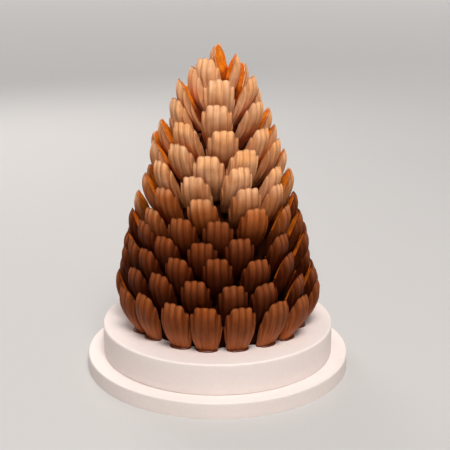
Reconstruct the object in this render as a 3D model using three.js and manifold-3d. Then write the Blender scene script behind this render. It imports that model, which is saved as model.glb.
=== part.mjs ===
// Madeleine tower on its two-tier stand, in millimetres, +Z up.
// Chocolate-coated madeleines stand on end, ribbed side out, in thirteen rising tiers round a cone.
// The origin is under the middle of the stand, and the front of the tower faces -Y.
import * as THREE from "three";
import { mergeVertices } from "three/addons/utils/BufferGeometryUtils.js";
import Module from "manifold-3d";

// Stand: two round boards, the smaller one on the larger one.
const LOWER_BOARD = { radius: 200, height: 24, edge: 3 };
const UPPER_BOARD = { radius: 176, height: 46.2, edge: 4 };
const BOARD_SIDES = 36;
const GAP = 0.3; // air between pieces that touch
const BOARD_TOP = LOWER_BOARD.height + GAP + UPPER_BOARD.height;

// One madeleine. Its tip is scalloped by seven ribs, and the outer ribs end lower than the middle ones.
const LENGTH = 78;
const FOOT_WIDTH = 30;
const WIDEST = 46.8;
const WIDEST_AT = 54; // distance of the widest place from the foot
const DEPTH = 15.5; // flat side to the crown of the ribbed side
const RIBS = 7;
const MIDDLE_RIB = 3;
// Where the valleys, and the edge, lie on either side of the middle line, as [share of the half width,
// share of the length that the rim reaches there], and the same for the ribs' crowns.
const VALLEYS = [[0.21, 0.98], [0.7, 0.875], [0.94, 0.66], [1, 0.56]];
const CROWNS = [[0, 1], [0.58, 0.99], [0.86, 0.845]];
const STATIONS = [[0.64, 1], [1, 0]]; // [share of the length, share of the depth] above the foot
const FREE_FOOT = [0.05, 0.62];
const STANDING_FOOT = [-0.1, 0.6]; // reaches into the board, where it is cut off level
const ROOT_DEPTH = 9; // how far behind its flat side a buried foot reaches into the core
const CRUMB_DOME = 1.5; // rise of the uncoated side's middle

// Radius of the circle that the tips reach at each height.
const OUTLINE = [
  [70, 166], [140, 152], [203, 136], [240, 127.4], [274, 119], [301, 109.5],
  [352, 94.6], [382, 82.4], [411, 68], [440, 56], [463, 38], [475, 26], [489, 2],
];

// Tiers from the bottom up. Each front is a list of [azimuth in degrees from the front, tip height], and
// the rest of the count is spread evenly round the back. A third number leans the tip sideways, in
// degrees towards the greater azimuth, a fourth moves it outwards, and a fifth turns it about the
// upright through its tip, in degrees towards the greater azimuth. Lean is the angle off the upright,
// outwards.
const TIERS = [
  {
    count: 19,
    lean: 22,
    front: [
      [-87, 151, 0, 1], [-63, 143, 5], [-44, 148, 9], [-24, 146, 2], [-7, 145], [13, 144], [35, 144, 3],
      [54, 140, 3], [77, 143], [98, 146],
    ],
  },
  {
    count: 17,
    lean: 20,
    front: [
      [-85, 176, 0, -1], [-57, 178], [-36, 182], [-13, 180], [8.7, 174], [27, 172, -5],
      [54, 169, 0, 0, 12], [76, 166], [97, 160, 0, -3],
    ],
  },
  {
    count: 14,
    lean: 20,
    front: [
      [-80, 197, 0, 1.5, -4], [-49, 210], [-25, 208], [-0.3, 211], [25, 206, 0, 0, 4],
      [48, 204, 0, 0, 16], [78, 194, 0, -4],
    ],
  },
  {
    count: 15,
    lean: 21,
    front: [
      [-82, 214, 0, 2, -3], [-67, 212], [-36, 234], [-9.5, 232], [14.6, 237], [44, 233, 0, 0, 8],
      [78, 218, 0, 0, 4],
    ],
  },
  {
    count: 15,
    lean: 22,
    front: [
      [-88, 245, 0, 2, -3], [-57, 246], [-51, 267], [-25, 262], [0.5, 261], [27, 275],
      [54, 269, 0, 0, 12], [78, 248, 0, -2, 4], [103, 240, 0, -3],
    ],
  },
  {
    count: 9,
    lean: 23,
    front: [
      [-97, 269, 0, 1], [-44, 298], [-12.5, 290, -3], [23, 303], [50.5, 301, 6, 1, 6], [97, 267, 0, -4],
    ],
  },
  {
    count: 10,
    lean: 25,
    front: [[-74, 307, 0, 2, -9], [-54, 332], [-20, 319, -4], [19, 331, 3], [54, 324, 3, 0, 8], [95, 304]],
  },
  { count: 8, lean: 27, front: [[-103, 340], [-9, 347], [25, 354], [84, 338, 0, -1]] },
  {
    count: 10,
    lean: 28,
    front: [[-70, 355, 0, 4, -12], [-38, 359], [6, 380], [49, 378], [67, 358], [92, 372, 0, -3]],
  },
  { count: 8, lean: 28, front: [[-88, 381, 0, 0, -10], [-39, 388], [0, 413], [57, 413, 0, 1], [96, 396]] },
  {
    count: 7,
    lean: 24,
    front: [
      [-63, 443, 0, 7, -16], [-60, 417, 0, 4], [2, 446], [69, 446, 0, 2], [96, 427, 0, -3], [163, 432],
      [229, 425, 0, -2],
    ],
  },
  { count: 4, lean: 17, front: [[-76, 458, 0, -6], [-35, 472], [94, 475], [120, 461]] },
  { count: 1, lean: 12, front: [[-108, 489, 0, -1]] },
];
const BACK_SHIFT = 3.5; // degrees by which the madeleines round the back are off their even places
const BACK_RISE = 4; // millimetres by which their tips are higher or lower
const JOINED_TIERS = 5; // the lowest tiers are one solid with the core

// Core: a cone that the tiers lean on, steeper under the joined tiers, as [radius, height] points.
const CORE_PROFILE = [[0, BOARD_TOP + GAP], [128, BOARD_TOP + GAP], [80, 228], [6, 398], [0, 404]];
const CORE_SIDES = 16;

const MILK = new THREE.Color(0.42, 0.25, 0.16);
const CARAMEL = new THREE.Color(0.74, 0.53, 0.4);
const BLOND = new THREE.Color(0.86, 0.68, 0.52);
const WHITE = new THREE.Color(0.93, 0.91, 0.88);
const COATING_ROUGHNESS = 0.45;
const BOARD_ROUGHNESS = 0.8;

// Over these tip heights the coating lightens from caramel to blond.
const CARAMEL_HEIGHT = 280;
const BLOND_HEIGHT = 489;

const wasm = await Module();
wasm.setup();

// A closed three.js geometry, placed by a matrix, as a solid that can be joined and cut.
function solidOf(geometry, matrix = new THREE.Matrix4()) {
  const bare = geometry.clone();
  bare.deleteAttribute("normal");
  bare.deleteAttribute("uv");
  const merged = mergeVertices(bare.applyMatrix4(matrix), 1e-3);
  return new wasm.Manifold(
    new wasm.Mesh({
      numProp: 3,
      vertProperties: merged.attributes.position.array,
      triVerts: new Uint32Array(merged.index.array),
    }),
  );
}

// The solid as a flat-shaded three.js mesh.
function meshOf(name, solid, color, roughness) {
  const { vertProperties, triVerts } = solid.getMesh();
  const geometry = new THREE.BufferGeometry();
  geometry.setAttribute("position", new THREE.BufferAttribute(new Float32Array(vertProperties), 3));
  geometry.setIndex(new THREE.BufferAttribute(new Uint32Array(triVerts), 1));
  geometry.computeVertexNormals();
  const material = new THREE.MeshStandardMaterial({ color, roughness, metalness: 0, flatShading: true });
  const mesh = new THREE.Mesh(geometry, material);
  mesh.name = name;
  return mesh;
}

// A profile of [radius, height] points turned about the vertical axis.
function turned(profile, sides) {
  const points = profile.map(([radius, height]) => new THREE.Vector2(radius, height));
  return new THREE.LatheGeometry(points, sides).rotateX(Math.PI / 2);
}

// A round board with a chamfered upper edge, standing at the height given.
function board({ radius, height, edge }, bottom) {
  const top = bottom + height;
  const profile = [[0, bottom], [radius, bottom], [radius, top - edge], [radius - edge, top], [0, top]];
  return solidOf(turned(profile, BOARD_SIDES));
}

// A point of the ribbed side, for a place across it and a share of the length that the rim reaches
// there. The half-width follows a sine that peaks at the widest place, and the section is a flattened
// arch.
function shellPoint([across, reach], [share, fullness]) {
  const along = share * LENGTH * reach;
  const swell = Math.sin((Math.PI / 2) * (along / WIDEST_AT));
  const halfWidth = (FOOT_WIDTH + (WIDEST - FOOT_WIDTH) * swell) / 2;
  return [across * halfWidth, along, DEPTH * fullness * (1 - across ** 2) ** 0.35];
}

// One madeleine with its foot on the origin, its length along +Y and its ribbed side towards +Z.
// Flat panels between the valleys make the ribs, and each but the outermost ends in a scallop's point.
// A fan of panels closes the foot, and another fan makes the low crumb dome of the uncoated side.
// Without a foot station, the madeleine tapers straight from its widest row to a root inside the core.
function madeleineGeometry(footStation) {
  const vertices = [];
  const triangles = [];
  const add = (point) => vertices.push(...point) / 3 - 1;
  const left = VALLEYS.map(([across, reach]) => [-across, reach]).reverse();
  const valleys = [...left, ...VALLEYS];
  const stations = footStation ? [footStation, ...STATIONS] : STATIONS;
  const tip = stations.length - 1;
  const rows = stations.map((station) => valleys.map((valley) => add(shellPoint(valley, station))));
  const foot = add(footStation ? [0, footStation[0] * LENGTH, DEPTH / 5] : [0, 0, -ROOT_DEPTH]);
  const crumb = add([0, LENGTH / 2, -CRUMB_DOME]);
  const rim = [rows[tip][0]];
  for (let i = 0; i < RIBS; i++) {
    for (let row = 0; row < tip; row++) {
      const [a, b, c, d] = [rows[row][i], rows[row][i + 1], rows[row + 1][i + 1], rows[row + 1][i]];
      triangles.push(a, b, c, a, c, d);
    }
    triangles.push(foot, rows[0][i + 1], rows[0][i]);
    if (i > 0 && i < RIBS - 1) {
      const [across, reach] = CROWNS[Math.abs(i - MIDDLE_RIB)];
      const crown = add(shellPoint([Math.sign(i - MIDDLE_RIB) * across, reach], stations[tip]));
      triangles.push(rows[tip][i], rows[tip][i + 1], crown);
      rim.push(crown);
    }
    rim.push(rows[tip][i + 1]);
  }
  const leftSide = rows.slice(0, tip).map((row) => row[0]);
  const rightSide = rows.slice(0, tip).map((row) => row[RIBS]).reverse();
  const edge = [foot, ...leftSide, ...rim, ...rightSide];
  edge.forEach((vertex, i) => triangles.push(crumb, vertex, edge[(i + 1) % edge.length]));
  const geometry = new THREE.BufferGeometry();
  geometry.setAttribute("position", new THREE.BufferAttribute(new Float32Array(vertices), 3));
  geometry.setIndex(triangles);
  return geometry;
}

function outlineRadius(height) {
  const i = OUTLINE.findIndex(([level], k) => k > 0 && (height <= level || k === OUTLINE.length - 1));
  const [[h0, r0], [h1, r1]] = [OUTLINE[i - 1], OUTLINE[i]];
  return THREE.MathUtils.mapLinear(height, h0, h1, r0, r1);
}

// The tier's front places as set, and the others between the last and the first, round the back, each
// off its even place by sines of its number. Tiers are counted from 1.
function placesOf({ count, front }, level) {
  const set = front.map(([azimuth, height, sideways = 0, outwards = 0, turned = 0]) => {
    return [azimuth, height, sideways, outwards, turned];
  });
  const [firstAzimuth, ...rest] = set[0];
  const first = [firstAzimuth + 360, ...rest];
  const last = set[set.length - 1];
  const steps = count - set.length + 1;
  const back = Array.from({ length: steps - 1 }, (_, i) => {
    const number = i + 1;
    const place = last.map((value, k) => THREE.MathUtils.lerp(value, first[k], number / steps));
    place[0] += BACK_SHIFT * Math.sin(2.1 * number + 1.3 * level);
    place[1] += BACK_RISE * Math.sin(3.7 * number + 2.9 * level);
    return place;
  });
  return [...set, ...back];
}

// From the madeleine's own frame to the tower's: tip on the outline, leaning out, turned to its azimuth.
// The shape may be swollen in its own plane, and moved across that plane, to keep neighbours off it.
function placement([azimuth, height, sideways, outwards, turned], lean, swollen = 0, moved = 0) {
  return new THREE.Matrix4()
    .makeRotationZ(THREE.MathUtils.degToRad(azimuth))
    .multiply(new THREE.Matrix4().makeTranslation(0, -outlineRadius(height) - outwards, height))
    .multiply(new THREE.Matrix4().makeRotationZ(THREE.MathUtils.degToRad(turned)))
    .multiply(new THREE.Matrix4().makeRotationX(Math.PI / 2 + THREE.MathUtils.degToRad(lean)))
    .multiply(new THREE.Matrix4().makeRotationZ(-THREE.MathUtils.degToRad(sideways)))
    .multiply(new THREE.Matrix4().makeTranslation(0, swollen, moved))
    .multiply(new THREE.Matrix4().makeScale(1 + (2 * swollen) / WIDEST, 1 + (2 * swollen) / LENGTH, 1))
    .multiply(new THREE.Matrix4().makeTranslation(0, -LENGTH, 0));
}

// The separate madeleines' colour, from caramel to blond by tip height.
function coatingColor(tipHeight) {
  const share = THREE.MathUtils.inverseLerp(CARAMEL_HEIGHT, BLOND_HEIGHT, tipHeight);
  return CARAMEL.clone().lerp(BLOND, THREE.MathUtils.clamp(share, 0, 1));
}

// The piece less its overlap with another madeleine, and less a gap on all sides of that one.
function cutBack(piece, other) {
  if (piece.intersect(other.whole).volume() === 0) return piece;
  return [-GAP, 0, GAP].reduce((left, moved) => {
    const room = solidOf(other.shape, placement(other.place, other.lean, GAP, moved));
    return left.subtract(room);
  }, piece);
}

// The largest of the bodies that the cuts have left, with any sealed cavity in it filled.
function largestBody(piece) {
  return piece.decompose().reduce((best, body) => (body.volume() > best.volume() ? body : best));
}

const twoDigits = (value) => String(value).padStart(2, "0");

const group = new THREE.Group();
group.name = "madeleine_tower";
group.add(meshOf("board_lower", board(LOWER_BOARD, 0), WHITE, BOARD_ROUGHNESS));
group.add(meshOf("board_upper", board(UPPER_BOARD, LOWER_BOARD.height + GAP), WHITE, BOARD_ROUGHNESS));

const madeleine = madeleineGeometry(FREE_FOOT);
const standingMadeleine = madeleineGeometry(STANDING_FOOT);
const buriedMadeleine = madeleineGeometry();
const joinedShapes = [standingMadeleine, ...Array(JOINED_TIERS - 1).fill(buriedMadeleine)];
const core = solidOf(turned(CORE_PROFILE, CORE_SIDES));
const grownProfile = CORE_PROFILE.map(([radius, height]) => [radius && radius + GAP, height]);
const coreAndGap = solidOf(turned(grownProfile, CORE_SIDES));
const belowTower = board({ radius: LOWER_BOARD.radius, height: BOARD_TOP + GAP, edge: 0 }, 0);

// The joined tiers grow out of the core as one solid. Each separate madeleine is cut back where it
// presses on the core or on one that was placed before it.
let trunk = core;
const placed = [];
TIERS.forEach((tier, level) => {
  placesOf(tier, level + 1).forEach((place, i) => {
    const shape = joinedShapes[level] ?? madeleine;
    const whole = solidOf(shape, placement(place, tier.lean));
    if (level < JOINED_TIERS) {
      trunk = trunk.add(whole);
    } else {
      const piece = largestBody(placed.reduce(cutBack, whole.subtract(coreAndGap)));
      const name = `madeleine_${twoDigits(level + 1)}_${twoDigits(i + 1)}`;
      group.add(meshOf(name, piece, coatingColor(place[1]), COATING_ROUGHNESS));
    }
    placed.push({ whole, shape, place, lean: tier.lean });
  });
});
group.add(meshOf("core_and_lower_tiers", largestBody(trunk.subtract(belowTower)), MILK, COATING_ROUGHNESS));

export default group;
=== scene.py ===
"""Madeleine tower on its stand: chocolate-coated madeleines stand on end in thirteen tiers round a dark
core, milk brown below and blond at the top, on two round white boards.

Lengths are in metres, +Z is up and the front faces -Y. The tiers' numbers repeat those of the part's own
source, so that every coat lies where its solid does.
"""

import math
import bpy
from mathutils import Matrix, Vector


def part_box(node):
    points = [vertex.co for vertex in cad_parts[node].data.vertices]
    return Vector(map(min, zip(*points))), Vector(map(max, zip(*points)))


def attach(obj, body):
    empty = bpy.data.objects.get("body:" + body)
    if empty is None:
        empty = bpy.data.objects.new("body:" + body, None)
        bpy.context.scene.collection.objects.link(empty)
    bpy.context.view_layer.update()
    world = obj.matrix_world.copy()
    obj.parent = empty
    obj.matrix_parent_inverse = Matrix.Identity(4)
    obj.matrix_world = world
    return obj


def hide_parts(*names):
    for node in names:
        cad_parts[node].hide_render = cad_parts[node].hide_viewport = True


bl_info = {
    "name": "Madeleine Tower",
    "version": (1, 0, 0),
    "blender": (4, 5, 0),
    "location": "View3D > Sidebar > Tower",
    "description": "Chocolate-coated madeleines in rising tiers on a two-tier white stand",
    "category": "Add Mesh",
}

import bpy
import numpy as np
from bpy.props import FloatProperty, FloatVectorProperty, PointerProperty
from bpy.types import NodeSocket, Operator, Panel, PropertyGroup, Scene
from mathutils import Vector

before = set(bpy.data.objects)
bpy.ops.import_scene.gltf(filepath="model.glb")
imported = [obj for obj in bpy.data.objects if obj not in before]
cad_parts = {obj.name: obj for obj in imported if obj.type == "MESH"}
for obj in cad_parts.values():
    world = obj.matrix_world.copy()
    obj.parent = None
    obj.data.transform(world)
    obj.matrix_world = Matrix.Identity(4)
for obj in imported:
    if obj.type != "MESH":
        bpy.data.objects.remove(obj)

MM = 0.001


def tier(count, lean, *front, back_tone=0.0):
    """A tier of so many madeleines: their lean off the upright in degrees, outwards, the places of those
    in front, and what the tone gains in the middle of the back."""
    return {"count": count, "lean": lean, "front": front, "back_tone": back_tone}


# Heights, and the radius of the circle that the tips reach there, in millimetres.
OUTLINE = (
    (70, 166), (140, 152), (203, 136), (240, 127.4), (274, 119), (301, 109.5),
    (352, 94.6), (382, 82.4), (411, 68), (440, 56), (463, 38), (475, 26), (489, 2),
)

# Tiers from the bottom up. Each place in front is (azimuth in degrees from the front, tip height in
# millimetres, tone of the coat), and the rest of the count is spread evenly round the back. A tone of 0
# is milk chocolate and 1 is blond. A fourth number leans the tip sideways, in degrees towards the greater
# azimuth, a fifth moves it outwards, in millimetres, and a sixth turns it about the upright through its
# tip, in degrees towards the greater azimuth.
TIERS = (
    tier(
        19, 22,
        (-87, 151, 0.1, 0, 1), (-63, 143, 0.1, 5), (-44, 148, 0.12, 9), (-24, 146, 0.12, 2), (-7, 145, 0.12),
        (13, 144, 0.12), (35, 144, 0.12, 3), (54, 140, 0.12, 3), (77, 143, 0.1), (98, 146, 0.1),
    ),
    tier(
        17, 20,
        (-85, 176, 0, 0, -1), (-57, 178, 0), (-36, 182, 0), (-13, 180, 0), (8.7, 174, 0), (27, 172, 0, -5),
        (54, 169, 0, 0, 0, 12), (76, 166, 0), (97, 160, 0, 0, -3),
    ),
    tier(
        14, 20,
        (-80, 197, 0, 0, 1.5, -4), (-49, 210, 0), (-25, 208, 0), (-0.3, 211, 0), (25, 206, 0, 0, 0, 4),
        (48, 204, 0, 0, 0, 16), (78, 194, 0, 0, -4),
    ),
    tier(
        15, 21,
        (-82, 214, 0, 0, 2, -3), (-67, 212, 0), (-36, 234, 0), (-9.5, 232, 0), (14.6, 237, 0),
        (44, 233, 0, 0, 0, 8), (78, 218, 0.1, 0, 0, 4),
        back_tone=0.14,
    ),
    tier(
        15, 22,
        (-88, 245, 0, 0, 2, -3), (-57, 246, 0), (-51, 267, 0.48), (-25, 262, 0.15), (0.5, 261, 0.05),
        (27, 275, 0.4), (54, 269, 0.45, 0, 0, 12), (78, 248, 0.25, 0, -2, 4), (103, 240, 0, 0, -3),
        back_tone=0.38,
    ),
    tier(
        9, 23,
        (-97, 269, 0.8, 0, 1), (-44, 298, 0.52), (-12.5, 290, 0.57, -3), (23, 303, 0.7),
        (50.5, 301, 0.72, 6, 1, 6), (97, 267, 0.2, 0, -4),
    ),
    tier(
        10, 25,
        (-74, 307, 0.6, 0, 2, -9), (-54, 332, 0.8), (-20, 319, 0.72, -4), (19, 331, 0.82, 3),
        (54, 324, 0.82, 3, 0, 8), (95, 304, 0.75),
    ),
    tier(8, 27, (-103, 340, 0.7), (-9, 347, 0.9), (25, 354, 0.9), (84, 338, 0.75, 0, -1)),
    tier(
        10, 28,
        (-70, 355, 0.75, 0, 4, -12), (-38, 359, 0.78), (6, 380, 0.77), (49, 378, 0.85), (67, 358, 0.8),
        (92, 372, 0.8, 0, -3),
    ),
    tier(
        8, 28,
        (-88, 381, 0.8, 0, 0, -10), (-39, 388, 0.85), (0, 413, 0.9), (57, 413, 0.9, 0, 1), (96, 396, 0.85),
    ),
    tier(
        7, 24,
        (-63, 443, 0.9, 0, 7, -16), (-60, 417, 0.9, 0, 4), (2, 446, 0.95), (69, 446, 1, 0, 2),
        (96, 427, 0.9, 0, -3), (163, 432, 0.9), (229, 425, 0.9, 0, -2),
    ),
    tier(4, 17, (-76, 458, 1, 0, -6), (-35, 472, 1), (94, 475, 1), (120, 461, 1)),
    tier(1, 12, (-108, 489, 1, 0, -1)),
)
BACK_SHIFT = 3.5  # degrees by which the madeleines round the back are off their even places
BACK_RISE = 4  # millimetres by which their tips are higher or lower
JOINED_TIERS = 5  # these tiers and the core are one solid in the frame

# Heights of the core over the board, and its radius there, in millimetres.
CORE_OUTLINE = ((0, 119), (60, 113), (157, 76), (243, 42), (330, 6))


# --- Settings ---


def amount(name, description, default, **kind):
    """A number for the panel, with its unit or limits."""
    return FloatProperty(name=name, description=description, default=default, **kind)


def metres(name, description, default):
    return amount(name, description, default, unit="LENGTH", subtype="DISTANCE")


def degrees(name, description, default):
    return amount(name, description, math.radians(default), unit="ROTATION", subtype="ANGLE")


def watts(name, description, default):
    return amount(name, description, default, unit="POWER")


def swatch(name, description, default):
    """A colour for the panel, in linear red, green and blue."""
    kind = {"size": 3, "min": 0, "max": 1, "subtype": "COLOR"}
    return FloatVectorProperty(name=name, description=description, default=default, **kind)


class MadeleineShape(PropertyGroup):
    length: metres("Length", "Foot to tip", 0.078)
    foot_width: metres("Foot width", "Width across the blunt foot", 0.030)
    widest: metres("Greatest width", "Width where the coat is widest", 0.0468)
    widest_at: metres("Widest at", "Distance of the widest place from the foot", 0.054)
    depth: metres("Depth", "Flat side to the crown of the ribbed side", 0.0155)
    valleys: FloatVectorProperty(
        name="Valleys",
        description="Share of the half width at which the valleys between the seven ribs lie",
        default=(0.21, 0.70, 0.94), size=3,
    )
    rib_ends: FloatVectorProperty(
        name="Rib ends",
        description="Share of the length that each rib reaches, from the middle one outwards",
        default=(1.0, 0.985, 0.84, 0.56), size=4,
    )
    foot_round: metres("Foot rounding", "How far the coat bulges past the foot's end", 0.0014)
    valley_depth: metres("Valley depth", "How far the valleys lie below the ribs", 0.0013)
    valley_notch: metres("Valley notch", "How far the rim dips between two ribs", 0.0010)
    lip_width: metres("Lip width", "Width of the coat's rounded rim round the sponge", 0.0011)
    lip_rise: metres("Lip rise", "How far the rounded rim stands proud of the flat side", 0.0005)
    hump: metres("Hump", "Rise of the sponge's middle over its rim", 0.0054)


class StandShape(PropertyGroup):
    lower_edge: metres("Lower edge", "Radius of the lower board's rounded edges", 0.0022)
    upper_edge: metres("Upper edge", "Radius of the upper board's rounded edges", 0.0032)
    unevenness: metres("Unevenness", "Greatest hollow in the painted boards", 0.0008)


class FeetShape(PropertyGroup):
    half_width: metres("Half width", "Half the width of each puddle, along the tier", 0.0165)
    half_depth: metres("Half depth", "Half the depth of each puddle, towards the middle", 0.0105)
    thickness: metres("Thickness", "Height of each puddle over the board", 0.0030)
    sunk: metres("Sunk", "Depth of each puddle's underside below the board's top", 0.0004)


class TowerColours(PropertyGroup):
    milk: swatch("Milk chocolate", "Coat of the lower tiers", (0.148, 0.0335, 0.01))
    caramel: swatch("Caramel chocolate", "Coat of the middle tiers", (0.37, 0.110, 0.031))
    blond: swatch("Blond chocolate", "Coat of the top tiers", (0.83, 0.45, 0.24))
    crumb: swatch("Crumb", "Golden sponge", (0.93, 0.285, 0.012))
    crust: swatch("Crust", "Browned edge of the sponge", (0.58, 0.13, 0.006))
    core: swatch("Core", "Dark chocolate between the madeleines", (0.022, 0.005, 0.0015))
    board: swatch("Board", "Warm white paint of the stand", (0.825, 0.73, 0.69))


class StageSetup(PropertyGroup):
    floor: swatch("Floor", "Colour of the floor and backdrop", (0.53, 0.515, 0.505))
    floor_radius: metres("Floor radius", "Radius of the floor before it curves up", 20.0)
    camera_distance: metres("Camera distance", "From the aim to the camera", 1.5)
    camera_elevation: degrees("Camera elevation", "Height of the camera over the horizon", 16.7)
    aim_height: metres("Aim height", "Height that the camera looks at", 0.219)
    lens: amount("Lens", "Focal length in millimetres", 79.8, unit="CAMERA")
    shift: amount("Shift", "Sideways lens shift, as a share of the sensor", 0.0163)
    key_power: watts("Key power", "Power of the lamp in front and above", 25.0)
    back_power: watts("Back power", "Power of the lamp behind the tower", 18.0)
    overhead_power: watts("Overhead power", "Power of the broad lamp overhead", 480.0)
    sun_angle: degrees("Sun angle", "Apparent size of the broad light", 24)
    sun_strength: amount("Sun strength", "Strength of the broad light from far off", 1.66, min=0)
    sky_strength: amount("Sky strength", "Strength of the even light all round", 0.14, min=0)


# --- Meshes ---


def quads_between(grid):
    """Quads between the neighbouring point numbers of a grid."""
    return np.stack([grid[:-1, :-1], grid[:-1, 1:], grid[1:, 1:], grid[1:, :-1]], axis=-1).reshape(-1, 4)


def closed_rings(rings):
    """Rows of point numbers, each with its first number again at its end."""
    return np.hstack([rings, rings[:, :1]])


def fan_faces(ring, pole, outward=True):
    """Triangles from each edge of a closed ring of point numbers to a pole."""
    faces = np.stack([ring, np.roll(ring, -1), np.full_like(ring, pole)], axis=-1)
    return faces if outward else faces[:, ::-1]


def in_scene(name, data):
    """A new object at the origin, linked to the scene."""
    made = bpy.data.objects.new(name, data)
    bpy.context.scene.collection.objects.link(made)
    return made


def add_piece(name, points, quads, triangles, values=None, uv=None):
    """A smooth mesh object at the origin, from point, quad and triangle arrays, with a float attribute
    for each entry of values and a UV map from one pair per point."""
    mesh = bpy.data.meshes.new(name)
    corners = np.concatenate([quads.ravel(), triangles.ravel()]).astype(np.int32)
    sizes = np.repeat([4, 3], [len(quads), len(triangles)])
    starts = (np.cumsum(sizes) - sizes).astype(np.int32)
    mesh.vertices.add(len(points))
    mesh.vertices.foreach_set("co", points.astype(np.float32).ravel())
    mesh.loops.add(len(corners))
    mesh.loops.foreach_set("vertex_index", corners)
    mesh.polygons.add(len(sizes))
    mesh.polygons.foreach_set("loop_start", starts)
    mesh.polygons.foreach_set("use_smooth", np.ones(len(sizes), bool))
    mesh.update(calc_edges=True)
    for attribute, numbers in (values or {}).items():
        made = mesh.attributes.new(attribute, "FLOAT", "POINT")
        made.data.foreach_set("value", numbers.astype(np.float32).ravel())
    if uv is not None:
        layer = mesh.uv_layers.new(name="surface")
        layer.uv.foreach_set("vector", uv[corners].astype(np.float32).ravel())
    mesh.validate()
    return in_scene(name, mesh)


def smooth_step(x, start=0, reach=1):
    """0 up to the start, 1 from the reach beyond it, and an S curve with level ends in between."""
    x = np.clip((x - start) / reach, 0, 1)
    return x * x * (3 - 2 * x)


def ripples(points, height, size, seed, waves=7):
    """Soft unevenness between about minus and plus the height: a sum of sine waves that run in random
    directions, with crests about one size apart."""
    random = np.random.default_rng(seed)
    directions = random.normal(size=(waves, points.shape[-1]))
    directions /= np.linalg.norm(directions, axis=1, keepdims=True)
    pitch = 2 * math.pi / (size * random.uniform(0.7, 1.5, waves))
    phases = random.uniform(0, 2 * math.pi, waves)
    total = np.sin((points @ directions.T) * pitch + phases).sum(axis=-1)
    return height * (total / math.sqrt(waves * 2))


def turned_points(profile, sides):
    """A profile of radius and height pairs turned round the upright, ring after ring: x is the radius
    times the sine of each side's azimuth, y is minus the radius times its cosine, and z the height."""
    azimuth = np.arange(sides) / sides * 2 * math.pi
    ring = np.stack([np.sin(azimuth), -np.cos(azimuth), np.ones(sides)], axis=-1)
    return (profile[:, None, (0, 0, 1)] * ring).reshape(-1, 3)


def turned_faces(rings, sides):
    """Quads between the rings of a turned shape, and fans that close it with an underside pole and a top
    pole, whose point numbers follow the rings'."""
    count = rings * sides
    grid = np.arange(count).reshape(rings, sides)
    fans = [fan_faces(grid[0], count, outward=False), fan_faces(grid[-1], count + 1)]
    return quads_between(closed_rings(grid)), np.vstack(fans)


# --- Madeleines ---

RIBS = 7
COLUMNS_PER_RIB = 8
ROWS = 20
FOOT_ROWS = 4  # rows that close the foot
LIP_RINGS = 3  # rings of the coat's rounded rim
CAKE_RINGS = 8  # rings of the sponge's face

# Powers, and shares of the length or of the ribbed side's greatest height.
ROW_CROWDING = 1.35  # power by which the rows crowd towards the tip
ARCH = 0.7  # power of the sine that arches the section
HIGHEST_AT = 0.5  # where the ribbed side is highest
FOOT_HEIGHT = 0.58  # how high it is at the foot
TIP_FALL = (2.6, 0.75)  # powers of the curve by which it falls to the tip
FOOT_VALLEYS, FULL_VALLEYS_AT = 0.3, 0.6  # depth of the valleys at the foot, and where it is full
MIDDLE_LINE = (0.2, 0.82)  # where the line starts and ends towards which the rim is drawn in
MIDDLE_SHARE = 0.48  # where the middle of the flat side lies
UNDER_LIP = 1.004  # how far the sponge's face reaches past the coat's inner rim
HUMP = (2.2, 0.6)  # powers of the superellipse of the sponge's face

FLOOR_DEPTH = 1.2 * MM  # how deep the coat's floor lies under the sponge
CAKE_DEPTH = 0.6 * MM  # how deep the sponge's hidden back lies
TIP_SWAY = 1.2 * MM  # how far a coat's tip bends sideways at most
STREAK_SHIFT = 40  # how far apart two coats' streaks may start, in coat widths

# Height of each kind of unevenness, and the distance between its crests.
SIDE_WAVES = (0.4 * MM, 30 * MM)
TIP_WAVES = (0.5 * MM, 12 * MM)
FACE_WAVES = (0.3 * MM, 22 * MM)
COARSE_CRUMBS = (0.4 * MM, 6.5 * MM)
FINE_CRUMBS = (0.3 * MM, 3.2 * MM)

ROLL, TILT = 4.0, 1.2  # most degrees by which each is rolled about its length and swung sideways
SMALLER, WIDER = 0.02, 0.05  # greatest shares by which each is smaller and wider
TONE_SPREAD = (-0.02, 0.06)  # range by which each coat is off its place's tone
PAINTED_TIP_SHEEN = 0.19  # painted sheen: what the tone gains towards the tip

# Painted shade: surfaces in the gaps are painted darker, by shares of their light.
GAP_DEPTH = 17 * MM  # how far behind the circle of the tips the gaps are darkest
GAP_DARKNESS = 0.55  # what is lost at that depth
FOOT_DARKNESS = 0.6  # what is lost at the foot of a madeleine
DARKEST = 0.28  # what is always left
OPENING = (190 * MM, 130 * MM)  # height below which the gaps are close, and over which they open
BOARD_LIGHT = 1.1  # painted light that the white board adds at the feet of the first tier
BOARD_LIGHT_REACH = 45 * MM  # height over which that fades
CAKE_FOOT_LIGHT = 0.25  # painted shade: what is left of the sponge's light at its foot
MILK_CAKE_LIGHT = 0.72  # painted shade: what is left of it in a milk chocolate coat

# Start and reach, along the length, of the tip's painted sheen, and of the painted light and shade on a coat
# and on a sponge.
TIP_PART, COAT_SHADOW, CAKE_SHADOW = (0.75, 0.25), (0.6, 0.42), (0.3, 0.35)


def rib_columns(shape):
    """Angle round the section, and place counted in ribs, of each column of the sheet. A valley's angle
    is the one whose cosine is its share of the half width. Columns crowd towards the valleys by half a
    cosine wave mixed evenly with equal steps."""
    to_valleys = np.arccos(np.array(shape.valleys)[::-1])
    borders = np.concatenate([[0], to_valleys, (math.pi - to_valleys)[::-1], [math.pi]])
    step = np.arange(COLUMNS_PER_RIB) / COLUMNS_PER_RIB
    step = 0.5 * step + 0.25 * (1 - np.cos(math.pi * step))
    place = np.append((np.arange(RIBS)[:, None] + step).ravel(), RIBS)
    return np.interp(place, np.arange(RIBS + 1), borders), place


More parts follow.
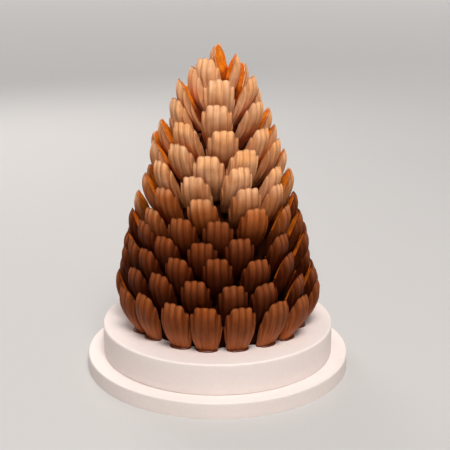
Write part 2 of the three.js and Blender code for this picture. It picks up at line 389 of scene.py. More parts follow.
def rib_relief(place):
    """0 in a valley and 1 on the crown of a rib: a rectified sine with one hump for each rib, its sharp
    valleys rounded by a hyperbola. The outer halves of the outermost ribs stay at 1, up to the rim."""
    softness = 0.3
    wave = np.sin(math.pi * place)
    relief = (np.hypot(wave, softness) - softness) / (math.hypot(1, softness) - softness)
    return np.where(np.minimum(place, RIBS - place) < 0.5, 1.0, relief)


def rib_end(place, shape):
    """Share of the length that the coat reaches at a place across the ribs. Each rib ends level, and
    where its outer neighbour ends lower, its outer half comes down to that in a rounded corner, a
    superellipse."""
    squareness = 2.5
    middle = RIBS // 2
    rib = np.floor(np.minimum(place, RIBS - 1e-6))
    ends = np.array(shape.rib_ends)
    from_middle = np.abs(rib - middle).astype(int)
    own = ends[from_middle]
    outer = ends[np.minimum(from_middle + 1, middle)]
    outwards = np.clip(2 * np.sign(rib - middle) * (place - rib - 0.5), 0, 1)
    return outer + (own - outer) * (1 - outwards**squareness) ** (1 / squareness)


def half_width(along, shape):
    """Half the width at a distance from the foot, which swells with a sine towards the widest place."""
    swell = np.sin(math.pi / 2 * along / shape.widest_at)
    return (shape.foot_width + (shape.widest - shape.foot_width) * swell) / 2


def coat_sheet(shape):
    """The ribbed side over a grid of rows, by share of the length, and columns round the section.
    Across is minus the cosine of the angle times the half width. The section is a flattened arch, the
    sine of the angle to a power, and its height along the length rises from the foot by an S curve and
    falls to the tip by a power curve. The first rows close the foot with a quarter of an ellipse. The
    valleys are pressed in along the surface's own normal, less towards the foot and not at the rim."""
    angle, place = rib_columns(shape)
    share = 1 - (1 - np.linspace(0, 1, ROWS + 1)[:, None]) ** ROW_CROWDING
    share = np.concatenate([np.zeros((FOOT_ROWS, 1)), share])
    turn = np.concatenate([np.arange(FOOT_ROWS) / FOOT_ROWS, np.ones(ROWS + 1)])[:, None] * math.pi / 2
    relief = rib_relief(place)[None]
    along = share * (shape.length * rib_end(place, shape) - shape.valley_notch * (1 - relief))
    along -= shape.foot_round * np.cos(turn)
    rise = FOOT_HEIGHT + (1 - FOOT_HEIGHT) * smooth_step(share, 0, HIGHEST_AT)
    fall = (1 - np.clip((share - HIGHEST_AT) / (1 - HIGHEST_AT), 0, 1) ** TIP_FALL[0]) ** TIP_FALL[1]
    across = -np.cos(angle) * half_width(along, shape)
    height = shape.depth * rise * fall * np.sin(turn) * np.sin(angle) ** ARCH
    points = np.stack([across, along, height], axis=-1)
    normal = np.cross(np.gradient(points, axis=1), np.gradient(points, axis=0))
    normal /= np.maximum(np.linalg.norm(normal, axis=-1, keepdims=True), 1e-12)
    deeper = FOOT_VALLEYS + (1 - FOOT_VALLEYS) * smooth_step(share, 0, FULL_VALLEYS_AT)
    edges = smooth_step(1 - share, 0, 0.05) * smooth_step(np.minimum(angle, math.pi - angle), 0, 0.2)
    points -= normal * (shape.valley_depth * (1 - relief) * deeper * edges)[..., None]
    points[..., 2] = np.maximum(points[..., 2], 0)
    return points, relief, place, share


def border_of(grid):
    """Point numbers round a grid: up the first column, along the last row, down the last column and
    back along the first row."""
    return np.concatenate([grid[:, 0], grid[-1, 1:], grid[-2::-1, -1], grid[0, -2:0:-1]])


def inner_rim(rim, shape):
    """The sponge's outline: each rim point drawn in by the lip's width towards the nearest point of a
    middle line that stops short of both ends. Its distance is the least among its neighbours', so that
    the outline passes under the rim's steps without crossing it, smoothed by a running mean."""
    spine = np.zeros_like(rim)
    spine[:, 1] = np.clip(rim[:, 1], *(share * shape.length for share in MIDDLE_LINE))
    offset = rim - spine
    reach = np.linalg.norm(offset, axis=1)
    least = np.min([np.roll(reach, k) for k in range(-5, 6)], axis=0)
    smooth = np.mean([np.roll(least, k) for k in range(-3, 4)], axis=0)
    distance = np.minimum(smooth, reach) - shape.lip_width
    return spine + offset * (distance / reach)[:, None]


def madeleine_coat(shape, seed):
    """One coat with its foot on the origin, its length along +Y and its ribs towards +Z. The ribbed
    sheet is followed by half a round lip along the rim, in to the sponge's outline, and by a ring
    half-way to the middle of a floor under the sponge."""
    random = np.random.default_rng(seed)
    sheet, relief, place, share = coat_sheet(shape)
    rows, columns = sheet.shape[:2]
    proud = sheet[..., 2] > 0
    sheet[..., 0] += ripples(sheet, *SIDE_WAVES, seed) * share
    sheet[..., 1] += ripples(sheet, *TIP_WAVES, seed + 2) * share**4
    sheet[..., 2] += ripples(sheet, *FACE_WAVES, seed + 1) * proud
    sheet[..., 0] += random.uniform(-TIP_SWAY, TIP_SWAY) * share**2
    grid = np.arange(rows * columns).reshape(rows, columns)
    border = border_of(grid)
    rim = sheet.reshape(-1, 3)[border]
    inner = inner_rim(rim, shape)
    rings = [
        rim + (inner - rim) * (1 - math.cos(turn)) / 2 - np.array([0, 0, shape.lip_rise * math.sin(turn)])
        for turn in np.linspace(0, math.pi, LIP_RINGS + 1)[1:]
    ]
    middle = np.array([0, shape.length * MIDDLE_SHARE, 0])
    under = np.array([0, 0, FLOOR_DEPTH])
    rings.append(middle + (inner - middle) / 2 + under)
    first, count = grid.size, len(border)
    pole = first + len(rings) * count
    ladder = np.vstack([border, np.arange(first, pole).reshape(-1, count)])
    valley, along, uv = np.zeros(pole + 1), np.zeros(pole + 1), np.zeros((pole + 1, 2))
    valley[:first] = np.broadcast_to(1 - relief, (rows, columns)).ravel()
    along[:first] = sheet[..., 1].ravel() / shape.length
    along[first:pole] = np.tile(along[border], len(rings))
    uv[:first, 0] = np.broadcast_to(place / RIBS, (rows, columns)).ravel()
    uv[:first, 1] = np.broadcast_to(share, (rows, columns)).ravel()
    uv[first:pole] = np.tile(uv[border], (len(rings), 1))
    return {
        "points": np.vstack([sheet.reshape(-1, 3), *rings, middle + under]),
        "quads": np.vstack([quads_between(grid), quads_between(closed_rings(ladder).T)]),
        "triangles": fan_faces(ladder[-1], pole, outward=False),
        "rim": inner,
        "valley": valley,
        "along": along,
        "uv": uv + random.uniform(0, STREAK_SHIFT, 2),
    }


def madeleine_cake(shape, rim, seed):
    """The sponge that fills a coat, from the coat's inner rim. Rings shrink from the rim to the middle,
    first over the hidden back and then over the face, whose hump is a quarter of a superellipse with
    crumbs on it, which are short ripples of two sizes."""
    middle = np.array([0, shape.length * MIDDLE_SHARE, 0])
    face_share = np.cos(np.linspace(0, math.pi / 2, CAKE_RINGS + 1)[:-1]) ** 0.7
    spread = (rim - middle)[None]
    back = middle + spread * 0.5 + np.array([0, 0, CAKE_DEPTH])
    ring = face_share[:, None, None]
    face = middle + spread * (ring * UNDER_LIP)
    face[..., 2:] += CAKE_DEPTH - (shape.hump + CAKE_DEPTH) * (1 - ring ** HUMP[0]) ** HUMP[1]
    flat = face.reshape(-1, 3)
    crumbs = ripples(flat, *COARSE_CRUMBS, seed) + ripples(flat, *FINE_CRUMBS, seed + 1, waves=11)
    flat[:, 2] += crumbs * np.repeat(1 - face_share**8, len(rim))
    count = len(rim)
    pole = 1 + (1 + CAKE_RINGS) * count
    ladder = np.arange(1, pole).reshape(-1, count)
    edge = np.ones(pole + 1)
    edge[1 + count : pole] = np.repeat(face_share, count)
    edge[pole] = 0
    points = np.vstack(
        [middle + (0, 0, CAKE_DEPTH), back.reshape(-1, 3), flat, middle - (0, 0, shape.hump)]
    )
    return {
        "points": points,
        "along": points[:, 1] / shape.length,
        "quads": quads_between(closed_rings(ladder).T),
        "triangles": np.vstack([fan_faces(ladder[0], 0), fan_faces(ladder[-1], pole, outward=False)]),
        "edge": edge,
    }


def board_top():
    """Height of the upper board's top, in metres."""
    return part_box("board_upper")[1].z


def outline_radius(height):
    """Radius of the tips' circle at a height, straight between the outline's points, in metres."""
    levels, radii = np.array(OUTLINE).T * MM
    return np.interp(height, levels, radii)


def places_of(level):
    """The tier's front places as set, and the others between the last and the first, round the back,
    each off its even place by sines of its number: rows of azimuth, tip height, tone, sideways lean,
    outwards move and turn, in radians and metres."""
    row = TIERS[level - 1]
    front = np.array([(*place, 0, 0, 0)[:6] for place in row["front"]], float)
    steps = row["count"] - len(front) + 1
    number = np.arange(1, steps)
    share = number[:, None] / steps
    back = front[-1] + (front[0] + (360, 0, 0, 0, 0, 0) - front[-1]) * share
    back[:, 0] += BACK_SHIFT * np.sin(2.1 * number + 1.3 * level)
    back[:, 1] += BACK_RISE * np.sin(3.7 * number + 2.9 * level)
    back[:, 2] += row["back_tone"] * np.sin(math.pi * share[:, 0])
    places = np.vstack([front, back])
    places[:, (0, 3, 5)] = np.radians(places[:, (0, 3, 5)])
    places[:, (1, 4)] *= MM
    return places


def turn_matrix(axis, angle):
    """Rotation matrix about one of the axes x, y or z, by the right-hand rule."""
    c, s = math.cos(angle), math.sin(angle)
    i, j = {"x": (1, 2), "y": (2, 0), "z": (0, 1)}[axis]
    matrix = np.eye(3)
    matrix[i, i], matrix[i, j], matrix[j, i], matrix[j, j] = c, -s, s, c
    return matrix


def in_its_place(points, shape, level, number, place):
    """Points of a madeleine's own frame, stood in the place of one madeleine of a tier: tip on the
    outline, leaning out, turned to its azimuth, with a small roll, tilt and change of size of its own.
    Those of the first tier are stretched until the foot stands on the upper board."""
    azimuth, height, _, sideways, outwards, turned = place
    random = np.random.default_rng(madeleine_seed(level, number) + 7)
    roll, tilt = random.uniform(-1, 1, 2) * np.radians([ROLL, TILT])
    lean = math.radians(TIERS[level - 1]["lean"])
    size = np.full(3, 1 - random.uniform(0, SMALLER))
    size[0] += random.uniform(0, WIDER)
    if level == 1:
        upright = math.cos(lean) * math.cos(sideways - tilt)
        size[1] = (height - board_top()) / (shape.length * upright)
    own = (points - (0, shape.length, 0)) * size
    own = own @ (turn_matrix("z", tilt - sideways) @ turn_matrix("y", roll)).T
    leaning = own @ (turn_matrix("z", turned) @ turn_matrix("x", math.pi / 2 + lean)).T
    leaning += (0, -outline_radius(height) - outwards, height)
    return leaning @ turn_matrix("z", azimuth).T


def joined(parts):
    """Several closed shapes as one set of arrays, their point numbers following on from each other."""
    starts = np.cumsum([0] + [len(part["points"]) for part in parts])
    made = {key: np.concatenate([part[key] for part in parts]) for key in parts[0]}
    for key in ("quads", "triangles"):
        made[key] = np.concatenate([part[key] + start for part, start in zip(parts, starts)])
    return made


def painted_coat_light(points, along, level):
    """Painted light and shade on the coats: 1 at the tips, and down S curves to less, as painted shade, deep
    behind the circle of the tips at their height and towards the foot. Both fade out towards the top, where
    the gaps are open. The first tier stands free, and is painted lighter towards its foot, as light from the
    white board."""
    if level == 1:
        return 1 + BOARD_LIGHT * (1 - smooth_step(points[:, 2], board_top(), BOARD_LIGHT_REACH))
    depth = outline_radius(points[:, 2]) - np.hypot(points[:, 0], points[:, 1])
    crowding = 1 - smooth_step(points[:, 2], *OPENING)
    deep = 1 - FOOT_DARKNESS * crowding * (1 - smooth_step(along, *COAT_SHADOW))
    return np.maximum(deep * (1 - GAP_DARKNESS * crowding * smooth_step(depth, 0, GAP_DEPTH)), DARKEST)


def painted_cake_shade(along, tone):
    """Painted shade on the sponge: light up an S curve from its foot to its upper half, and painted darker
    in the milk chocolate coats than in the blond ones."""
    rising = CAKE_FOOT_LIGHT + (1 - CAKE_FOOT_LIGHT) * smooth_step(along, *CAKE_SHADOW)
    return rising * (MILK_CAKE_LIGHT + (1 - MILK_CAKE_LIGHT) * tone)


def finished_madeleine(shape, level, number, place):
    """The coat and the sponge of one madeleine in its place, with the coat's tone and its painted sheen at
    the tip, and the painted light and shade of both.
    """
    seed = madeleine_seed(level, number)
    coat = madeleine_coat(shape, seed)
    cake = madeleine_cake(shape, coat["rim"], seed + 5)
    for part in (coat, cake):
        part["points"] = in_its_place(part["points"], shape, level, number, place)
    tone = place[2] + np.random.default_rng(seed + 9).uniform(*TONE_SPREAD)
    # painted sheen: the tone rises towards the tip
    coat["tone"] = tone + PAINTED_TIP_SHEEN * smooth_step(coat["along"], *TIP_PART)
    coat["shade"] = painted_coat_light(coat["points"], coat["along"], level)
    cake["shade"] = painted_cake_shade(cake["along"], tone)
    return coat, cake


def nodes_of_tier(level):
    """Names of the frame's nodes that a tier stands for."""
    if level <= JOINED_TIERS:
        return ["core_and_lower_tiers"]
    return sorted(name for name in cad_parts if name.startswith(f"madeleine_{level:02d}_"))


def madeleine_seed(level, number):
    """Where the random draws of one madeleine start."""
    return 1000 * level + 10 * number


# --- Materials ---


class Finish:
    """A node material, with short calls for the nodes that the finishes share."""

    def __init__(self, name):
        self.material = bpy.data.materials.new(name)
        self.material.use_nodes = True
        self.tree = self.material.node_tree
        self.coordinates = self.node("TexCoord").outputs
        self.position = self.coordinates["Object"]

    def feed(self, socket, value):
        """Links an output to a socket, or sets the socket to a number or colour."""
        if isinstance(value, NodeSocket):
            self.tree.links.new(value, socket)
        else:
            socket.default_value = value

    def node(self, kind, inputs=None, **settings):
        """A new node with its settings and its inputs, each an output, a number or a colour."""
        node = self.tree.nodes.new("ShaderNode" + kind)
        for name, value in settings.items():
            setattr(node, name, value)
        for name, value in (inputs or {}).items():
            self.feed(node.inputs[name], value)
        return node

    def dress(self, inputs):
        """Feeds the shader's own sockets."""
        for name, value in inputs.items():
            self.feed(self.tree.nodes["Principled BSDF"].inputs[name], value)

    def attribute(self, name):
        """A number that the mesh holds for each of its points."""
        return self.node("Attribute", attribute_name=name).outputs["Fac"]

    def noise(self, scale, detail, roughness, vector=None):
        """Soft noise, with the scale as the number of its patches in a metre."""
        inputs = {"Vector": vector or self.position, "Scale": scale, "Detail": detail}
        return self.node("TexNoise", {**inputs, "Roughness": roughness}).outputs["Fac"]

    def spread(self, value, low, high, from_low=0.0, from_high=1.0):
        """The value's range from from_low to from_high, put onto low to high."""
        limits = {"From Min": from_low, "From Max": from_high, "To Min": low, "To Max": high}
        return self.node("MapRange", {"Value": value, **limits}).outputs["Result"]

    def maths(self, operation, first, second):
        """Two numbers or outputs added, subtracted, multiplied or raised to a power."""
        return self.node("Math", {0: first, 1: second}, operation=operation).outputs["Value"]

    def product(self, first, *others):
        """All the values multiplied."""
        for other in others:
            first = self.maths("MULTIPLY", first, other)
        return first

    def ramp(self, value, stops):
        """Colours over a value, from (place, colour) pairs."""
        node = self.node("ValToRGB", {"Fac": value})
        elements = node.color_ramp.elements
        while len(elements) < len(stops):
            elements.new(0.5)
        for element, (place, colour) in zip(elements, stops):
            element.position = place
            element.color = (*colour, 1)
        return node.outputs["Color"]

    def tinted(self, colour, tint):
        """One colour times another."""
        node = self.node("Mix", data_type="RGBA", blend_type="MULTIPLY")
        sockets = [socket for socket in node.inputs if socket.enabled]
        for socket, value in zip(sockets, (1.0, colour, tint)):
            self.feed(socket, value)
        return next(socket for socket in node.outputs if socket.enabled)

    def warm(self, value, green=1.2, blue=1.4):
        """The number as a tint that turns redder as it darkens: green and blue are powers of it."""
        powers = {"Green": self.maths("POWER", value, green), "Blue": self.maths("POWER", value, blue)}
        return self.node("CombineColor", {"Red": value, **powers}).outputs["Color"]

    def bump(self, height, distance, strength):
        """Small relief on the whole surface, with the distance as its depth in metres."""
        inputs = {"Height": height, "Distance": distance, "Strength": strength}
        self.dress({"Normal": self.node("Bump", inputs).outputs["Normal"]})


def times(factor, colour):
    """The colour with each channel times the factor."""
    return [factor * channel for channel in colour]


def coat_finish(colours):
    """Satin chocolate: milk to blond by the coat's tone, with streaks along the ribs and a mottle of broad
    patches, painted shade as dark lines in the valleys, the painted light and shade of the shade attribute,
    redder where darker, and a painted highlight towards the tips."""
    finish = Finish("chocolate_coat")
    tone, along, shade = (finish.attribute(name) for name in ("tone", "along", "shade"))
    base = finish.ramp(tone, [(0.0, colours.milk), (0.6, colours.caramel), (1.0, colours.blond)])
    lengthwise = finish.node("Mapping", {"Vector": finish.coordinates["UV"], "Scale": (26, 1.1, 1)})
    streaks = finish.noise(1.0, 3.0, 0.55, lengthwise.outputs["Vector"])
    patches = finish.noise(60.0, 3.0, 0.55)
    # painted shade in the valleys, stronger on milk chocolate and towards the tip
    valley_shade = finish.product(
        finish.maths("POWER", finish.attribute("valley"), 3.0),
        finish.spread(tone, 0.42, 0.24),
        finish.spread(along, 0.35, 1.0, 0.35, 0.9),
    )
    # the streaks and patches are the coat's own; the valley lines, the shade attribute and the tips' rise
    # are painted light and shade
    light = finish.product(
        finish.spread(streaks, 0.77, 1.12, 0.32, 0.68),
        finish.spread(patches, 0.86, 1.1, 0.3, 0.7),
        finish.maths("SUBTRACT", 1.0, valley_shade),
        shade,
        # painted highlight: up to 15 per cent lighter towards the tip
        finish.spread(along, 1.0, 1.15, 0.78, 0.98),
    )
    warmth = finish.ramp(finish.noise(26.0, 2.0, 0.5), [(0.38, (1.0, 1.0, 1.0)), (0.7, (1.0, 0.84, 0.6))])
    finish.dress({
        "Base Color": finish.tinted(finish.tinted(base, warmth), finish.warm(light)),
        "Roughness": finish.spread(patches, 0.38, 0.56, 0.3, 0.7),
        "IOR": 1.45,
        # painted shade also takes the specular level down
        "Specular IOR Level": finish.spread(shade, 0.03, 0.12, 0.5, 1.0),
        "Specular Tint": (1.0, 0.76, 0.55, 1),
    })
    finish.bump(finish.noise(650.0, 4.0, 0.6), 0.00012, 0.4)
    return finish.material


def puddle_finish(colours):
    """Glossier milk chocolate that has run and set, darker than the coats."""
    finish = Finish("set_chocolate")
    patches = finish.noise(120.0, 3.0, 0.6)
    colour = finish.ramp(patches, [(0.3, times(0.5, colours.milk)), (0.75, times(0.95, colours.milk))])
    finish.dress({"Base Color": colour, "Roughness": finish.spread(patches, 0.28, 0.45, 0.3, 0.7)})
    finish.bump(patches, 0.0004, 0.5)
    return finish.material


def sponge_finish(colours):
    """Golden crumb, browner towards its edge, with pores and a rough bump, and the painted shade of the
    shade attribute, redder where darker.
    """
    finish = Finish("sponge_crumb")
    patches = finish.noise(140.0, 4.0, 0.6)
    edge = finish.spread(finish.attribute("edge"), 0.0, 0.75, 0.72, 1.0)
    browning = finish.maths("ADD", finish.spread(patches, 0.0, 0.85, 0.38, 0.66), edge)
    base = finish.ramp(browning, [(0.0, colours.crumb), (1.0, colours.crust)])
    pores = finish.node("TexVoronoi", {"Scale": 700.0, "Vector": finish.position}).outputs["Distance"]
    # the pores are the crumb's own; the shade attribute is painted shade
    light = finish.product(finish.spread(pores, 0.55, 1.0, 0.0, 0.35), finish.attribute("shade"))
    colour = finish.tinted(base, finish.warm(light, 1.6, 2.0))
    finish.dress({"Base Color": colour, "Roughness": 0.75, "Specular IOR Level": 0.12})
    finish.bump(finish.maths("ADD", finish.noise(420.0, 5.0, 0.65), pores), 0.0006, 0.8)
    return finish.material


def core_finish(colours):
    """Dark chocolate with a dull, lumpy skin, lighter towards the top, where more light comes in."""
    finish = Finish("core_chocolate")
    height = finish.node("SeparateXYZ", {"Vector": finish.position}).outputs["Z"]
    colour = finish.ramp(height, [(0.2, colours.core), (0.34, times(3.2, colours.core))])
    finish.dress({"Base Color": colour, "Roughness": 0.85, "Specular IOR Level": 0.05})
    finish.bump(finish.noise(90.0, 3.0, 0.6), 0.001, 0.6)
    return finish.material


def board_finish(colours):
    """Matt warm white paint with faint clouds and a fine brushed grain."""
    finish = Finish("white_board_paint")
    clouds = finish.noise(9.0, 4.0, 0.6)
    specks = finish.noise(160.0, 3.0, 0.6)
    base = finish.ramp(clouds, [(0.3, times(0.955, colours.board)), (0.7, colours.board)])
    grain = finish.spread(specks, 0.975, 1.01, 0.3, 0.7)
    tint = finish.node("CombineColor", dict.fromkeys(("Red", "Green", "Blue"), grain)).outputs["Color"]
    roughness = finish.spread(clouds, 0.58, 0.72, 0.3, 0.7)
    finish.dress({"Base Color": finish.tinted(base, tint), "Roughness": roughness})
    finish.bump(specks, 0.0003, 0.35)
    return finish.material


def floor_finish(colour):
    """Plain pale floor, paler far off, where less light falls on it."""
    finish = Finish("floor")
    distance = finish.node("VectorMath", {0: finish.position}, operation="LENGTH").outputs["Value"]
    nearness = finish.spread(distance, 0.0, 1.0, 1.5, 9.0)
    paler = finish.ramp(nearness, [(0.0, colour), (1.0, times(1.45, colour))])
    finish.dress({"Base Color": paler, "Roughness": 0.85})
    return finish.material


# --- Pieces ---

BOARD_SIDES, CORNER_RINGS, WALL_RINGS, LID_RINGS = 144, 6, 5, 16
CORE_SIDES, CORE_RINGS = 96, 60
FLOOR_SIDES = 96
DENTS_APART = 100 * MM  # distance between the hollows in a board
EDGE_DENTS = (0.96, 0.03)  # start and reach of the hollows in its rim, as shares of its radius
UNDER_EDGE = 0.15  # the lower edge's rounding as a share of the upper edge's
CORE_LUMPS = (0.02, 20 * MM)  # how lumpy the core is, as a share of its radius, and how far apart
CORE_CROWN = 4 * MM  # rise of the core's tip over its last ring
PUDDLE_SIDES, PUDDLE_RINGS = 48, 7
PUDDLE_WAVES = (0.05, 16 * MM)  # how wavy a puddle's outline is, as a share, and how far apart
FLOOR_CURVE, WALL_TOP = 0.25, 0.7  # backdrop's curve and height, as shares of the floor's radius
TOWER_MIDDLE = (0, 0, 0.25)  # what the lamps face


def placed(piece, material, nodes):
    """Gives a piece its material and its body, and hides the frame's nodes that it stands for."""
    piece.data.materials.append(material)
    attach(piece, "root")
    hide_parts(*nodes)


def add_joined(name, parts, attributes=()):
    """One piece from several closed shapes, with the named arrays as its attributes and any UVs."""
    made = joined(parts)
    values = {key: made[key] for key in attributes}
    return add_piece(name, made["points"], made["quads"], made["triangles"], values, made.get("uv"))


def board_profile(radius, bottom, top, edge):
    """Radius and height pairs from the middle of the underside to the middle of the top, with both
    edges rounded by quarter circles."""
    turn = np.linspace(0, math.pi / 2, CORNER_RINGS)
    sine, cosine, small = np.sin(turn), np.cos(turn), edge * UNDER_EDGE
    wall = np.linspace(bottom + small, top - edge, WALL_RINGS + 2)[1:-1]
    radii = [
        radius * np.array([0.3, 0.7, 0.97]), radius - small + small * sine, np.full(WALL_RINGS, radius),
        radius - edge + edge * cosine, radius * np.linspace(0.98, 0.05, LID_RINGS),
    ]
    heights = [
        np.full(3, bottom), bottom + small - small * cosine, wall, top - edge + edge * sine,
        np.full(LID_RINGS, top),
    ]
    return np.stack([np.concatenate(radii), np.concatenate(heights)], axis=-1)


def round_board(name, node, edge, unevenness, seed, material):
    """A board turned from its rounded profile over the node's own box. Its edge and faces are pressed
    in by ripples, more along the rounded edge, so that it never grows past the node."""
    low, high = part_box(node)
    radius = (high.x - low.x) / 2
    profile = board_profile(radius, low.z, high.z, edge)
    points = turned_points(profile, BOARD_SIDES)
    dent = unevenness * (0.5 + 0.5 * np.clip(ripples(points, 1, DENTS_APART, seed), -1, 1))
    near_edge = smooth_step(np.hypot(points[:, 0], points[:, 1]) / radius, *EDGE_DENTS)
    points[:, :2] *= (1 - (dent * near_edge / radius))[:, None]
    on_top = points[:, 2] > high.z - 1e-6
    points[on_top, 2] -= dent[on_top] * 0.5
    poles = [[0, 0, low.z], [0, 0, high.z - unevenness * 0.25]]
    board = add_piece(name, np.vstack([points, poles]), *turned_faces(len(profile), BOARD_SIDES))
    placed(board, material, [node])


def puddle(feet, middle, azimuth, seed):
    """One flat drop of set chocolate round a foot: rings shrink to the middle of an oval with a wavy
    outline, their height a quarter of a superellipse over the board."""
    turn = np.arange(PUDDLE_SIDES) / PUDDLE_SIDES * 2 * math.pi
    outline = np.stack([feet.half_width * np.sin(turn), -feet.half_depth * np.cos(turn)], axis=-1)
    outline *= 1 + ripples(outline, *PUDDLE_WAVES, seed)[:, None]
    outline = outline @ turn_matrix("z", azimuth)[:2, :2].T
    share = np.cos(np.linspace(0, math.pi / 2, PUDDLE_RINGS + 1)[:-1])[:, None]
    rise = feet.thickness * (1 - share**4) ** 0.5
    height = np.broadcast_to(board_top() + rise, (PUDDLE_RINGS, PUDDLE_SIDES))
    lid = np.concatenate([outline[None] * share[..., None], height[..., None]], axis=-1)
    skirt = lid[0] - (0, 0, feet.sunk)
    poles = [[0, 0, board_top() - feet.sunk], [0, 0, board_top() + feet.thickness]]
    quads, triangles = turned_faces(PUDDLE_RINGS + 1, PUDDLE_SIDES)
    return {
        "points": np.vstack([skirt, lid.reshape(-1, 3), poles]) + (middle[0], middle[1], 0),
        "quads": np.roll(quads, -1, axis=1),  # each splits along its other diagonal
        "triangles": triangles,
    }


class TOWER_OT_stand(Operator):
    """Adds the two round white boards of the stand"""

    bl_idname = "tower.stand"
    bl_label = "Add Stand"

    def execute(self, context):
        stand = context.scene.tower_stand
        paint = board_finish(context.scene.tower_colours)
        round_board("lower_board", "board_lower", stand.lower_edge, stand.unevenness, seed=3, material=paint)
        round_board("upper_board", "board_upper", stand.upper_edge, stand.unevenness, seed=5, material=paint)
        return {"FINISHED"}


class TOWER_OT_core(Operator):
    """Adds the dark cone that the madeleines lean on"""

    bl_idname = "tower.core"
    bl_label = "Add Core"

    def execute(self, context):
        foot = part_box("core_and_lower_tiers")[0].z
        levels, radii = np.array(CORE_OUTLINE).T * MM
        height = np.linspace(0, levels[-1], CORE_RINGS)
        profile = np.stack([np.interp(height, levels, radii), height + foot], axis=-1)
        points = turned_points(profile, CORE_SIDES)
        points[:, :2] *= (1 + ripples(points, *CORE_LUMPS, seed=11))[:, None]
        poles = [[0, 0, foot], [0, 0, foot + levels[-1] + CORE_CROWN]]
        core = add_piece("core", np.vstack([points, poles]), *turned_faces(len(profile), CORE_SIDES))
        placed(core, core_finish(context.scene.tower_colours), ["core_and_lower_tiers"])
        return {"FINISHED"}


class TOWER_OT_madeleines(Operator):
    """Adds every tier's chocolate coats and the sponge that fills them"""

    bl_idname = "tower.madeleines"
    bl_label = "Add Madeleines"

    def execute(self, context):
        shape = context.scene.tower_madeleine
        colours = context.scene.tower_colours
        chocolate, crumb = coat_finish(colours), sponge_finish(colours)
        for level in range(1, len(TIERS) + 1):
            made = [
                finished_madeleine(shape, level, number, place)
                for number, place in enumerate(places_of(level))
            ]
            coats, cakes = zip(*made)
            piece = add_joined(f"coats_tier_{level:02d}", coats, ("tone", "valley", "along", "shade"))
            placed(piece, chocolate, nodes_of_tier(level))
            piece = add_joined(f"cakes_tier_{level:02d}", cakes, ("edge", "shade"))
            placed(piece, crumb, nodes_of_tier(level))
        return {"FINISHED"}


class TOWER_OT_feet(Operator):
    """Adds the puddles of set chocolate that hold the lowest tier to the board"""

    bl_idname = "tower.feet"
    bl_label = "Add Chocolate Feet"

    def execute(self, context):
        shape = context.scene.tower_madeleine
        puddles = []
        for number, place in enumerate(places_of(1)):
            middle = in_its_place(np.array([[0, 0, 0.3 * shape.depth]]), shape, 1, number, place)[0]
            seed = madeleine_seed(1, number) + 3
            puddles.append(puddle(context.scene.tower_feet, middle, place[0], seed))
        finish = puddle_finish(context.scene.tower_colours)
        placed(add_joined("chocolate_feet", puddles), finish, nodes_of_tier(1))
        return {"FINISHED"}


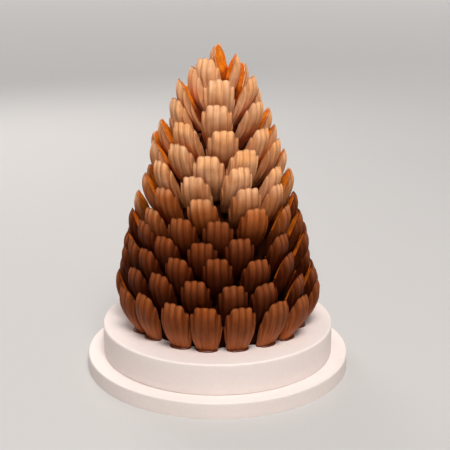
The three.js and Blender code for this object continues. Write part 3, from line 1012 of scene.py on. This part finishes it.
class TOWER_OT_stage(Operator):
    """Adds the floor, the lamps, the even light and the camera"""

    bl_idname = "tower.stage"
    bl_label = "Add Stage"

    def execute(self, context):
        stage = context.scene.tower_stage
        self.floor(stage)
        self.lamp(
            "key_lamp", "AREA", (0.35, -1.25, 2.15), size=0.7, energy=stage.key_power, color=(1.0, 0.95, 0.9)
        )
        self.lamp(
            "overhead_lamp", "AREA", (0, 0, 8.0), aim=(0, 0, 0), size=22.0, energy=stage.overhead_power,
            color=(0.9, 0.95, 1.0),
        )
        self.lamp(
            "back_lamp", "AREA", (-0.9, 1.9, 1.5), size=1.2, energy=stage.back_power, color=(1.0, 0.96, 0.92)
        )
        self.lamp(
            "broad_light", "SUN", (0.15, -1.4, 2.4), angle=stage.sun_angle, energy=stage.sun_strength,
            color=(1.0, 0.97, 0.95),
        )
        world = bpy.data.worlds.new("even_light")
        world.use_nodes = True
        background = world.node_tree.nodes["Background"].inputs
        background["Color"].default_value = (1.0, 0.97, 0.94, 1)
        background["Strength"].default_value = stage.sky_strength
        context.scene.world = world
        self.camera(stage)
        context.scene.view_settings.view_transform = "Standard"
        return {"FINISHED"}

    def floor(self, stage):
        """A round floor that curves up, by a quarter circle, into a backdrop all round."""
        turn = np.linspace(0, math.pi / 2, 12)[1:]
        curve = np.stack([1 + FLOOR_CURVE * np.sin(turn), FLOOR_CURVE - FLOOR_CURVE * np.cos(turn)], axis=-1)
        profile = np.vstack([(0.5, 0), (1, 0), curve, (1 + FLOOR_CURVE, WALL_TOP)])
        points = turned_points(profile * stage.floor_radius, FLOOR_SIDES)
        grid = np.arange(len(points)).reshape(-1, FLOOR_SIDES)
        quads, fan = quads_between(closed_rings(grid))[:, ::-1], fan_faces(grid[0], len(points))
        floor = add_piece("floor", np.vstack([points, [[0, 0, 0]]]), quads, fan)
        floor.data.materials.append(floor_finish(stage.floor))

    def lamp(self, name, kind, place, aim=TOWER_MIDDLE, **settings):
        """A light with its power, colour and size set."""
        light = bpy.data.lights.new(name, kind)
        for setting, value in settings.items():
            setattr(light, setting, value)
        self.put(in_scene(name, light), Vector(place), Vector(aim) - Vector(place))

    def camera(self, stage):
        """The camera, in front, at its distance and elevation from the aim."""
        lens = bpy.data.cameras.new("camera")
        lens.lens, lens.shift_x = stage.lens, stage.shift
        back = Vector((0, -math.cos(stage.camera_elevation), math.sin(stage.camera_elevation)))
        place = Vector((0, 0, stage.aim_height)) + back * stage.camera_distance
        bpy.context.scene.camera = in_scene("camera", lens)
        self.put(bpy.context.scene.camera, place, -back)

    def put(self, made, place, facing):
        """Moves a lamp or the camera to its place, and turns it to face a direction."""
        made.location = place
        made.rotation_euler = facing.to_track_quat("-Z", "Y").to_euler()


class TOWER_PT_panel(Panel):
    """Lists the tower's pieces and their sizes"""

    bl_label = "Madeleine Tower"
    bl_idname = "TOWER_PT_panel"
    bl_space_type = "VIEW_3D"
    bl_region_type = "UI"
    bl_category = "Tower"

    def draw(self, context):
        for operator in OPERATORS:
            self.layout.operator(operator.bl_idname)
        for name in SETTINGS:
            group = getattr(context.scene, name)
            box = self.layout.box()
            for prop in group.bl_rna.properties:
                if prop.identifier not in {"rna_type", "name"}:
                    box.prop(group, prop.identifier)


OPERATORS = (TOWER_OT_stand, TOWER_OT_core, TOWER_OT_madeleines, TOWER_OT_feet, TOWER_OT_stage)
SETTINGS = {
    "tower_madeleine": MadeleineShape,
    "tower_stand": StandShape,
    "tower_feet": FeetShape,
    "tower_colours": TowerColours,
    "tower_stage": StageSetup,
}
CLASSES = (*SETTINGS.values(), *OPERATORS, TOWER_PT_panel)


def register():
    for made in CLASSES:
        bpy.utils.register_class(made)
    for name, group in SETTINGS.items():
        setattr(Scene, name, PointerProperty(type=group))


def unregister():
    for name in SETTINGS:
        delattr(Scene, name)
    for made in reversed(CLASSES):
        bpy.utils.unregister_class(made)


def main():
    """Makes the tower and its stage."""
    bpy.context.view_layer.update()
    register()
    bpy.ops.tower.stand()
    bpy.ops.tower.core()
    bpy.ops.tower.madeleines()
    bpy.ops.tower.feet()
    bpy.ops.tower.stage()


if __name__ == "__main__":
    main()
